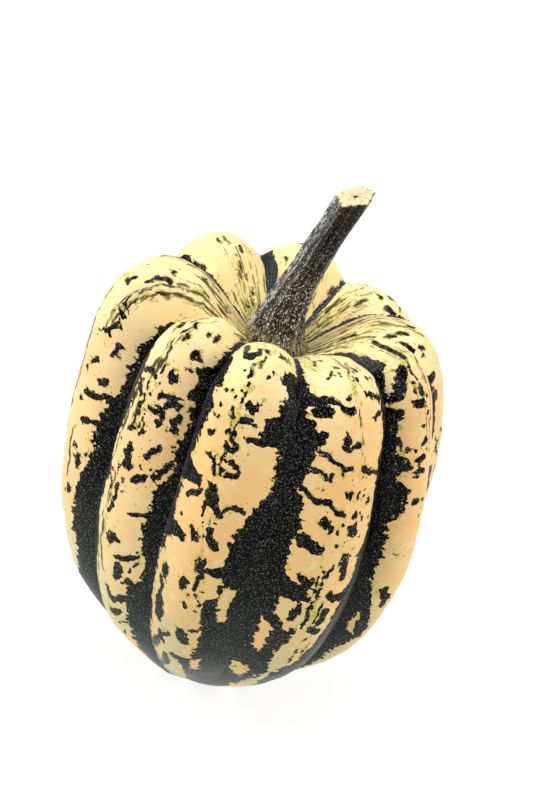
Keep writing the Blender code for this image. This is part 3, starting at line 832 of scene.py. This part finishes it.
# ribs that share a furrow share its normals there
def softFurrows(normals):
    for left, right in zip(normals, normals[1:]):
        shared = unit(left[:, -1] + right[:, 0])
        left[:, -1], right[:, 0] = shared, shared


# the points of several grids, one grid after another
def inOneRow(grids):
    return np.concatenate([grid.reshape(-1, *grid.shape[2:]) for grid in grids])


# a value or a vector at each point of a mesh, for its finish to read
def addField(data, name, values):
    values = np.ascontiguousarray(values, np.float32)
    isVector = values.shape[-1] == 3
    field = data.attributes.new(name, "FLOAT_VECTOR" if isVector else "FLOAT", "POINT")
    field.data.foreach_set("vector" if isVector else "value", values.ravel())


def addPiece(name, spots, faces, fields, finish):
    data = bpy.data.meshes.new(name)
    data.from_pydata(spots * mm, [], faces)
    for key, values in fields.items():
        addField(data, key, values)
    data.shade_smooth()
    data.materials.append(finish)
    print(name, len(data.loops) - 2 * len(data.polygons), "triangles")
    return addObject(name, data)


# one sheet of the skin: several ribs side by side
def makeSkinSheet(name, sheet, finish):
    skins, ribFields = zip(*[ribPart(rib, sheet["columnsPerDegree"]) for rib in sheet["ribs"]])
    normals = [unit(np.cross(np.gradient(skin, axis=0), np.gradient(skin, axis=1))) for skin in skins]
    softFurrows(normals)
    faces, first = [], 0
    for skin in skins:
        rows, wide = skin.shape[:2]
        faces.append(first + gridFaces(rows, wide, False)[:, [0, 3, 2, 1]])  # turned to face out
        first += rows * wide
    fields = {key: inOneRow([each[key] for each in ribFields]) for key in ribFields[0]}
    piece = addPiece(name, inOneRow(skins), np.concatenate(faces), fields, finish)
    piece.data.normals_split_custom_set_from_vertices(inOneRow(normals))
    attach(piece, "root")
    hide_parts("fruit")


# The fruit's finish. Cream is a ramp down the fruit, and the other colours are single ones.
rind = {
    "shader": {"IOR": 1.40, "Specular IOR Level": 0.06, "Coat Roughness": 0.2, "Coat IOR": 1.35},
    "cream": (
        (0.00, ink(240, 220, 150)), (0.04, ink(244, 222, 156)), (0.20, ink(248, 227, 166)),
        (0.36, ink(251, 226, 166)), (0.50, ink(243, 203, 136)), (0.64, ink(228, 198, 136)),
        (0.72, ink(204, 189, 136)), (0.84, ink(194, 188, 146)), (1.00, ink(186, 178, 134)),
    ),
    # the next one is painted light: the paler cream of the fruit's lit left side
    "creamLitLeft": ink(255, 246, 206),
    "peach": ink(246, 190, 118),
    "blush": ink(248, 190, 138),
    "pale": ink(255, 243, 205),
    "olive": ink(176, 174, 60),
    "fibre": ink(134, 134, 92),
    "freckle": ink(176, 120, 52),
    "dark": ink(3, 3, 3),
    "darkGreen": ink(16, 19, 14),
    # the next one is a painted reflection of the pale floor on the dark skin low down
    "lowFloorReflection": ink(54, 62, 56),
    # the next three are painted sheen on the dark skin: bluish patches, left flanks, and bands near the
    # top
    "blueSheen": ink(34, 34, 50),
    "leftFlankSheen": ink(84, 82, 92),
    "topBandSheen": ink(60, 62, 70),
    "moss": ink(72, 70, 34),
    "speck": ink(180, 182, 166),
    "scar": ink(120, 92, 58),
    "freckles": 210.0,  # in a metre, as the next two are
    "specks": 1150.0,
    "dust": 2100.0,
    "gloss": 0.40,  # roughness of the cream, before its noise
    "coatAtTop": 0.15,
    "coatLoss": 0.12,
    "bump": {"Strength": 0.35, "Distance": 0.00018},
}


# where the dark skin shows, and how far inside its ragged edge a point lies
def darkEdges(skin, fields):
    dark, loose, way = fields["darkDepth"], fields["loose"], fields["wayDown"]
    # ragged across the rib on the belly, and along it near the top
    ragged = skin.noise(0.68) - 0.5
    scallops = skin.noise(0.30, 2.0, 0.55) - 0.5
    fingers = skin.stretch((0.26, 0.62, 1.0)).noise(1.0, 1.5) - 0.5
    streaks = skin.stretch((1.3, 0.22, 1.0)).noise(1.0, 2.0, 0.55) - 0.5
    low = way.rise(0.20, 0.40)
    drift = fingers * low + streaks * (1.0 - low)
    free = loose * way.rise(0.12, 0.26)
    edge = dark + ragged * (0.8 + low * 1.7 + free * 0.9) + drift * (0.4 + low * 0.4 + free * 1.7)
    edge = edge + scallops * free * 2.8
    softness = 0.13 + (1.0 - loose) * (1.0 - low) * 0.35
    mask = edge.rise(-softness, softness)
    # little satellites of dark near the bands, and pinholes of cream in their margins
    crumbs = skin.noise(0.95, 1.5).rise(0.70, 0.73)
    mask = mask.larger(crumbs * dark.rise(-4.0, -1.0) * 0.95)
    holes = skin.stretch((1.0, 1.0, 3.0)).noise(1.1, 1.5).rise(0.70, 0.73)
    mask = mask * (1.0 - holes * (1.0 - dark.rise(0.6, 2.4)))
    return mask, edge, ragged, streaks


# the cream skin, and two masks that other marks need: where olive shows, and the dark threads
def creamSkin(place, skin, fields, edge, ragged):
    streaky, way = fields["streaky"], fields["wayDown"]
    # warmer on the belly, in soft patches, and paler on the left, where light from the left is painted
    # in
    cream = way.node("ShaderNodeValToRGB", {"stops": rind["cream"]}, {0: way})
    patches = place.noise(62.0).rise(0.40, 0.62) * (0.45 + way.rise(0.25, 0.5) * 0.55)
    cream = cream.into(rind["peach"], patches * 0.50)
    blush = skin.stretch((0.22, 0.30, 1.0)).noise(1.0, 2.0, 0.55).rise(0.54, 0.68)
    cream = cream.into(rind["blush"], blush * 0.32)
    # painted light: the cream on the fruit's left side is made paler, as if lit by the left lamp
    litFromLeft = (-place.firstPart()).rise(0.005, 0.042)
    cream = cream.into(rind["creamLitLeft"], litFromLeft * way.rise(0.2, 0.4) * 0.16)
    cream = cream.into(rind["pale"], place.noise(260.0, 2.0, 0.6).rise(0.55, 0.75) * 0.25)
    # yellow-green halos and streaks
    patchy = skin.noise(0.40, 2.0, 0.6).rise(0.53, 0.60)
    halo = edge.rise(-1.1, -0.2) * patchy * skin.noise(1.7, 1.0).rise(0.40, 0.55)
    olive = (fields["oliveDepth"] + ragged * 2.2).rise(-0.2, 0.3)
    olive = (olive * skin.noise(1.4, 2.0, 0.6).rise(0.42, 0.55)).larger(halo)
    cream = cream.into(rind["olive"], olive)
    # bundles of fine dark and olive streaks that run down the rib
    thread = skin.stretch((1.5, 0.11, 1.0)).noise(1.0, 2.5, 0.6) + streaky.rise(-1.0, 2.0) * 0.015
    broken = skin.stretch((0.5, 0.26, 1.0)).noise(1.0, 1.5).rise(0.42, 0.52)
    threads = thread.rise(0.585, 0.635) * streaky.rise(-0.6, 0.6) * broken
    cream = cream.into(rind["olive"], thread.rise(0.52, 0.58) * streaky.rise(-0.6, 0.8) * broken * 0.7)
    # woody fibres that reach from the stalk's foot onto the skin
    fibres = skin.stretch((2.6, 0.25, 1.0)).noise(1.0, 2.0, 0.6).rise(0.44, 0.56)
    cream = cream.into(rind["fibre"], (1.0 - way.rise(0.012, 0.045)) * fibres * 0.75)
    # orange-brown freckles
    freckles = place.spots(rind["freckles"], (0.06, 0.11), (0.86, 0.88))
    cream = cream.into(rind["freckle"], freckles * 0.8)
    return cream, patchy, threads


# the dark skin: nearly black, greyer green low down as a painted reflection of the floor, with a
# painted bluish sheen in patches, on left flanks and near the top, and dense pale specks
def darkSkin(place, skin, fields):
    loose, way = fields["loose"], fields["wayDown"]
    tone = place.noise(85.0, 3.0, 0.6).rise(0.35, 0.7)
    deep = place.blend(rind["dark"], rind["darkGreen"], tone * 0.6)
    # painted reflection: low down the dark skin is made greyer green, as if it mirrored the pale floor
    deep = deep.into(rind["lowFloorReflection"], way.rise(0.58, 0.84) * 0.85)
    # painted sheen: bluish patches on the dark skin above the belly
    bluishSheen = place.noise(140.0, 2.0, 0.6).rise(0.50, 0.66) * (1.0 - way.rise(0.4, 0.6))
    deep = deep.into(rind["blueSheen"], bluishSheen * 0.7)
    # painted sheen: the dark skin on the fruit's left-facing flanks is made lilac grey, as if it
    # reflected the left lamp
    leftFlankSheen = (-skin.firstPart()).rise(12.0, 18.5) * (1.0 - way.rise(0.55, 0.75))
    leftFlankSheen = leftFlankSheen * (-place.firstPart()).rise(0.004, 0.022)
    deep = deep.into(rind["leftFlankSheen"], leftFlankSheen * loose * 0.6)
    # painted sheen: the dark bands near the top are made bluish grey
    nearTop = 1.0 - way.rise(0.14, 0.32)
    deep = deep.into(rind["topBandSheen"], nearTop * loose * 0.7)
    mossy = skin.noise(0.7, 2.0, 0.6).rise(0.40, 0.60)
    deep = deep.into(rind["moss"], nearTop * (1.0 - loose) * mossy * 0.85)
    speckFar = place.dots(rind["specks"])
    speck = (1.0 - speckFar.rise(0.10, 0.27)) * (place.dotChance(rind["specks"]) * 0.8 + 0.1)
    dust = (1.0 - place.dots(rind["dust"]).rise(0.12, 0.38)) * place.dotChance(rind["dust"])
    return deep.into(rind["speck"], (speck * 0.70).larger(dust * 0.55)), speckFar


def makeRindFinish():
    material, start, shader = newFinish("waxyRind", rind["shader"])
    place = start.node("ShaderNodeTexCoord", {}, {}, out=3)
    skin = attributeOf(start, "skinMap", out=1)
    names = ("darkDepth", "oliveDepth", "lineDepth", "streaky", "loose", "wayDown")
    fields = {name: attributeOf(start, name) for name in names}
    line, way = fields["lineDepth"], fields["wayDown"]
    darkMask, edge, ragged, streaks = darkEdges(skin, fields)
    cream, patchy, threads = creamSkin(place, skin, fields, edge, ragged)
    deep, speckFar = darkSkin(place, skin, fields)
    # thin lines with an olive border here and there
    lineMask = (line + ragged * 0.5 + streaks * 0.8).rise(-0.16, 0.14)
    border = (line + streaks * 1.4).rise(-0.7, 0.0)
    cream = cream.into(rind["olive"], border * patchy * 0.8)
    colour = cream.into(deep, darkMask.larger(threads * 0.9).larger(lineMask * 0.9))
    # corky scar left by the blossom, under the flat spot
    scar = way.rise(1.035, 1.06) * place.noise(900.0, 2.0, 0.6).rise(0.25, 0.5)
    plug(colour.into(rind["scar"], scar), shader, "Base Color")
    grit = (place.noise(700.0, 2.0, 0.6) - 0.5) * 0.12
    plug(rind["gloss"] - darkMask * 0.08 + grit + scar * 0.4, shader, "Roughness")
    plug(rind["coatAtTop"] - way.rise(0.28, 0.45) * rind["coatLoss"], shader, "Coat Weight")
    relief = (1.0 - speckFar.rise(0.05, 0.3)) * darkMask * 0.5 + place.noise(420.0, 3.0, 0.6) * 0.7
    relief = relief + darkMask * 0.25
    plug(start.node("ShaderNodeBump", {}, {**rind["bump"], "Height": relief}), shader, "Normal")
    return material


# The stalk, in millimetres and degrees: its middle line as (x, y, z, radius) from the seat to the
# cut. Ridges and lean grow in, the foot fades out and the corner rounds between two heights, and
# flutes and strands are waves round the stalk with their heights.
stalk = {
    "line": (
        (0.0, 0.0, 113.4, 8.55), (0.0, 0.0, 116.9, 8.9), (-0.9, 0.1, 119.4, 8.75),
        (-0.7, 0.4, 123.2, 7.20), (0.1, 1.0, 128.0, 5.90), (1.5, 2.0, 133.6, 5.20),
        (3.6, 3.2, 139.8, 4.75), (5.9, 4.6, 147.2, 4.45), (8.6, 6.0, 155.0, 4.30),
        (12.3, 7.4, 165.2, 4.50),
    ),
    "ridges": 5,
    "ridgeAzimuth": -28.0,
    "ridgeHeight": 0.10,
    "ridgeRise": (118.0, 124.0),
    "leanRise": (118.0, 134.0),
    "footFade": (126.0, 118.0),
    "flutes": ((11, 0.16), (17, 0.14), (26, 0.11), (37, 0.09), (53, 0.06)),
    "strands": ((23, 0.16), (41, 0.16), (67, 0.12)),
    "seed": 5,
    "cornerAzimuth": 116.0,
    "cornerSpread": 24.0,
    "cornerCut": 0.62,
    "cornerRise": (146.0, 160.0),
    "cut": (-0.22, -0.25, 0.94),
    "cutLead": 13.0,
    "pithAside": 0.05,
    "faceRings": 14,
    "rows": 210,
    "sides": 220,
    "sharpFrom": 40.0,
    "lightEdge": ((0.0, -86.0), (12.0, -74.0), (30.0, -54.0), (50.0, -32.0)),  # (climb, azimuth)
}


# the middle line's points and radii, and the directions along it, to its side and to its front
def stalkLine():
    line = alongCurve(stalk["line"], np.linspace(0.0, len(stalk["line"]) - 1, stalk["rows"]))
    middles, radii = line[:, :3], line[:, 3]
    lean = smoothStep(*stalk["leanRise"], middles[:, 2])[:, None]
    along = unit(np.gradient(middles, axis=0))
    along = unit((1 - lean) * np.array((0.0, 0.0, 1.0)) + lean * along)
    aside = unit(np.cross((0.0, 1.0, 0.0), along))
    return middles, radii, along, aside, np.cross(aside, along)


# how far the skin lies from the middle line
def stalkReach(height, radii, climb, azimuth, phase):
    high = stalk["ridgeHeight"] * smoothStep(*stalk["ridgeRise"], height)[:, None]
    reach = radii[:, None] * (1.0 + high * np.cos(phase) + 0.38 * high * np.cos(2 * phase))
    # fine fluting that runs along the stalk, and fibres that splay at the foot
    luck = np.random.default_rng(stalk["seed"])
    flute, strands = np.zeros(reach.shape), np.zeros(reach.shape)
    for waves, size in stalk["flutes"]:
        swing = np.interp(climb, np.linspace(0, climb[-1], 7), luck.uniform(-0.5, 0.5, 7))[:, None]
        flute += size * np.sin(waves * azimuth + swing * 2 + luck.uniform(*anyPhase))
    weave = 1.4 * np.sin(climb / 2.0)[:, None]
    for waves, size in stalk["strands"]:
        strands += size * np.sin(waves * azimuth + luck.uniform(*anyPhase) + weave)
    foot = smoothStep(*stalk["footFade"], height)[:, None]
    reach = reach + flute * (0.8 + 0.4 * foot) + strands * foot * 1.1
    # the corner on the right of the cut is rounder than the others
    fromCorner = (np.degrees(azimuth) - stalk["cornerAzimuth"]) / stalk["cornerSpread"]
    corner = stalk["cornerCut"] * np.exp(-(fromCorner**2))
    return reach - corner * smoothStep(*stalk["cornerRise"], height)[:, None]


# the cut face: rings that draw in to the pith, which is a small pit
def cutRings(rim, cut, shares):
    centre = rim.mean(0)
    pith = centre + (rim[0] - centre) * stalk["pithAside"]
    dome = 0.10 * np.sin(shares * 9.0) - 0.75 * smoothStep(0.86, 1.0, shares)
    dome = dome + 0.12 * smoothStep(0.0, 0.08, shares)
    return rim + (pith - rim) * shares[:, None, None] + cut * dome[:, None, None]


# 1 on the light, scuffed faces to the left and right, and 0 on the dark one in front
def lightSides(azimuth, climb):
    turn = (np.degrees(azimuth) + 180.0) % 360.0 - 180.0
    left = smoothStep(0.0, -10.0, turn - tableAt(stalk["lightEdge"], climb))
    left = left * smoothStep(-170.0, -140.0, turn)
    right = smoothStep(56.0, 66.0, turn) * smoothStep(130.0, 110.0, turn)
    return np.maximum(left, right * smoothStep(14.0, 27.0, climb))


def makeStalk(finish):
    middles, radii, along, aside, front = stalkLine()
    climb = lengthAlong(middles)
    azimuth = fullTurn * np.arange(stalk["sides"]) / stalk["sides"]
    phase = stalk["ridges"] * (azimuth - math.radians(stalk["ridgeAzimuth"]))
    reach = stalkReach(middles[:, 2], radii, climb, azimuth, phase)
    sine, cosine = np.sin(azimuth)[:, None], np.cos(azimuth)[:, None]
    point = (aside[:, None] * sine + front[:, None] * cosine) * reach[..., None]
    # near the end the rings tilt to lie in the slanting cut
    cut = unit(np.array(stalk["cut"]))
    toCut = np.linalg.norm(middles[-1] - middles, axis=1)
    tilt = 1.0 - smoothStep(0.0, stalk["cutLead"], toCut)
    slide = -(point @ cut) / (along @ cut)[:, None] * tilt[:, None]
    spots = middles[:, None] + point + along[:, None] * slide[..., None]
    shares = np.arange(1, stalk["faceRings"] + 1) / stalk["faceRings"]
    spots = np.concatenate([spots, cutRings(spots[-1], cut, shares)])
    rows, wide = spots.shape[:2]
    around = np.broadcast_to(azimuth, (rows, wide))
    climb = np.concatenate([climb, np.full(len(shares), climb[-1])])
    climb = np.broadcast_to(climb[:, None], around.shape)
    cutShare = np.concatenate([np.zeros(len(middles)), 0.02 + shares])
    fields = {
        "grain": np.stack([np.cos(around) * 5.0, np.sin(around) * 5.0, climb], 2),
        "cutShare": np.broadcast_to(cutShare[:, None], around.shape),
        "ridge": np.broadcast_to(np.cos(phase), around.shape),
        "lightSide": lightSides(around, climb),
        "climb": climb,
    }
    faces = gridFaces(rows, wide, True).tolist() + [list(range(wide))[::-1]]
    piece = addPiece("stalkSkin", spots.reshape(-1, 3), faces, fields, finish)
    piece.data.set_sharp_from_angle(angle=math.radians(stalk["sharpFrom"]))
    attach(piece, "root")
    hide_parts("stalk")


# the stalk's finish
bark = {
    "shader": {"IOR": 1.45, "Specular IOR Level": 0.4},
    "dark": ink(16, 13, 9),
    "brown": ink(62, 47, 25),
    "grey": ink(150, 150, 148),
    "pale": ink(206, 208, 208),
    "dot": ink(232, 228, 218),
    "fleck": ink(240, 236, 222),
    "olive": ink(80, 80, 42),
    "crease": ink(16, 14, 10),
    "straw": ink(206, 192, 150),
    "green": ink(150, 152, 84),
    "footGap": ink(44, 40, 24),
    "cut": ink(234, 214, 170),
    "cutShade": ink(194, 168, 124),
    "rim": ink(120, 92, 58),
    "pith": ink(84, 62, 36),
    "dots": 1.3,  # in a millimetre, as the next ones are
    "crumbs": 2.4,
    "gloss": 0.62,
    "bump": {"Strength": 0.6, "Distance": 0.0005},
}


def makeBarkFinish():
    material, start, shader = newFinish("woodyStalk", bark["shader"])
    grain = attributeOf(start, "grain", out=1)
    cutShare, ridge = attributeOf(start, "cutShare"), attributeOf(start, "ridge")
    lightSide, climb = attributeOf(start, "lightSide"), attributeOf(start, "climb")
    fibre = grain.stretch((1.0, 1.0, 0.12)).noise(1.3, 4.0, 0.7)
    fine = grain.stretch((1.0, 1.0, 0.16)).noise(2.6, 3.0, 0.75)
    colour = start.blend(bark["dark"], bark["brown"], fibre.rise(0.45, 0.68))
    olive = grain.stretch((1.0, 1.0, 0.3)).noise(0.7, 2.0, 0.6).rise(0.48, 0.62)
    colour = colour.into(bark["olive"], olive * (1.0 - climb.rise(22.0, 40.0)) * 0.35)
    # light sides and ridges are scuffed grey, with pale and dark dashes along the fibres
    scuffed = (lightSide * 0.75 + ridge.rise(0.82, 1.0) * 0.55) * fine.rise(0.38, 0.60)
    colour = colour.into(bark["grey"], scuffed * 0.85)
    dashes = grain.stretch((1.0, 1.0, 0.22)).noise(2.3, 2.0, 0.6)
    colour = colour.into(bark["pale"], lightSide * dashes.rise(0.50, 0.62) * 0.8)
    colour = colour.into(bark["dark"], lightSide * (1.0 - dashes.rise(0.36, 0.46)) * 0.7)
    # pale dots and crumbs, drawn out along the stalk
    long = grain.stretch((1.0, 1.0, 0.45))
    dots = long.spots(bark["dots"], (0.16, 0.24), (0.40, 0.6))
    dots = dots.larger(long.spots(bark["crumbs"], (0.22, 0.36), (0.40, 0.7)))
    colour = colour.into(bark["dot"], dots * (0.55 + 0.45 * (1.0 - climb.rise(16.0, 40.0))))
    # dark creases between the fibres, and pale flecks low down
    colour = colour.into(bark["crease"], (1.0 - fibre.rise(0.34, 0.46)) * 0.9)
    flecks = grain.stretch((1.0, 1.0, 0.4)).noise(3.4, 2.0, 0.6).rise(0.59, 0.64)
    colour = colour.into(bark["fleck"], flecks * (1.0 - climb.rise(18.0, 42.0)) * 0.9)
    # straw-coloured fibres at the foot
    foot = 1.0 - climb.rise(4.0, 11.0)
    colour = colour.into(bark["straw"], foot * fine.rise(0.46, 0.54) * 0.9)
    colour = colour.into(bark["green"], (1.0 - climb.rise(4.0, 8.0)) * fibre.rise(0.50, 0.60) * 0.7)
    colour = colour.into(bark["footGap"], foot * (1.0 - fine.rise(0.38, 0.45)) * 0.8)
    # the cut face, with a darker rim and pith
    onCut = cutShare.rise(0.005, 0.02)
    cutGrain = start.node("ShaderNodeTexCoord", {}, {}, out=3).noise(900.0, 3.0, 0.7)
    face = start.blend(bark["cut"], bark["cutShade"], cutGrain.rise(0.45, 0.7))
    face = face.into(bark["rim"], (1.0 - cutShare.rise(0.05, 0.13)) * 0.7)
    face = face.into(bark["pith"], cutShare.rise(0.86, 0.93))
    plug(colour.into(face, onCut), shader, "Base Color")
    plug(bark["gloss"] + (fine - 0.5) * 0.2 + onCut * 0.12, shader, "Roughness")
    relief = fibre * 0.8 + fine * 0.5 + dots * 0.5
    plug(start.node("ShaderNodeBump", {}, {**bark["bump"], "Height": relief}), shader, "Normal")
    return material


# floor, lights and surroundings, in metres and watts
studio = {
    "floorRadius": 3.0,
    "floorSides": 96,
    "floorDrop": 0.0002,
    "floorTone": 0.26,
    "floorRoughness": 0.6,
    "floorGlow": 0.86,
    "surround": 0.30,
    "backdrop": 0.90,
    "lamps": {
        "overhead": {"at": (-0.15, 0.10, 1.20), "size": (0.9, 0.9), "power": 12.0, "tint": "cool"},
        "left": {"at": (-1.15, -0.30, 0.70), "size": (0.6, 0.9), "power": 9.6, "tint": "warm"},
        "right": {"at": (1.15, -0.15, 0.55), "size": (0.6, 0.9), "power": 6.2, "tint": "warm"},
    },
    "tints": {"cool": (0.96, 0.97, 1.0), "warm": (1.0, 0.99, 0.98)},
    "lampsAim": (0.0, 0.0, 0.07),
}
white = (1.0, 1.0, 1.0, 1.0)


def makeFloor():
    material = newFinish("paleFloor", {
        "Base Color": (*[studio["floorTone"]] * 3, 1.0),
        "Roughness": studio["floorRoughness"],
        "Emission Color": white,
        "Emission Strength": studio["floorGlow"],
    })[0]
    data = bpy.data.meshes.new("floor")
    reach, sides = studio["floorRadius"], studio["floorSides"]
    turns = [fullTurn * step / sides for step in range(sides)]
    rim = [(reach * math.cos(turn), reach * math.sin(turn), -studio["floorDrop"]) for turn in turns]
    data.from_pydata(rim, [], [list(range(sides))])
    data.materials.append(material)
    floor = addObject("floor", data)


def makeLamps():
    for name, lamp in studio["lamps"].items():
        light = bpy.data.lights.new(name, "AREA")
        light.shape = "RECTANGLE"
        light.size, light.size_y = lamp["size"]
        light.energy, light.color = lamp["power"], studio["tints"][lamp["tint"]]
        rig = addObject(name, light)
        rig.location = lamp["at"]
        aim = Vector(studio["lampsAim"]) - Vector(lamp["at"])
        rig.rotation_euler = aim.to_track_quat("-Z", "Y").to_euler()


def makeSurround():
    world = bpy.data.worlds.new("surround")
    bpy.context.scene.world = world
    world.use_nodes = True
    background = world.node_tree.nodes["Background"]
    background.inputs["Color"].default_value = white
    # what is seen beyond the floor is as pale as the floor, and paler than the light it gives
    seen = Wire(world.node_tree).node("ShaderNodeLightPath", {}, {})
    plug(seen * (studio["backdrop"] - studio["surround"]) + studio["surround"], background, "Strength")
    bpy.context.scene.view_settings.view_transform = "Standard"


makeCamera()
makeFloor()
makeLamps()
makeSurround()
print("studio done")
rindFinish = makeRindFinish()
for sheetName, sheet in sheets.items():
    makeSkinSheet(sheetName, sheet, rindFinish)
makeStalk(makeBarkFinish())
print("pieces done")
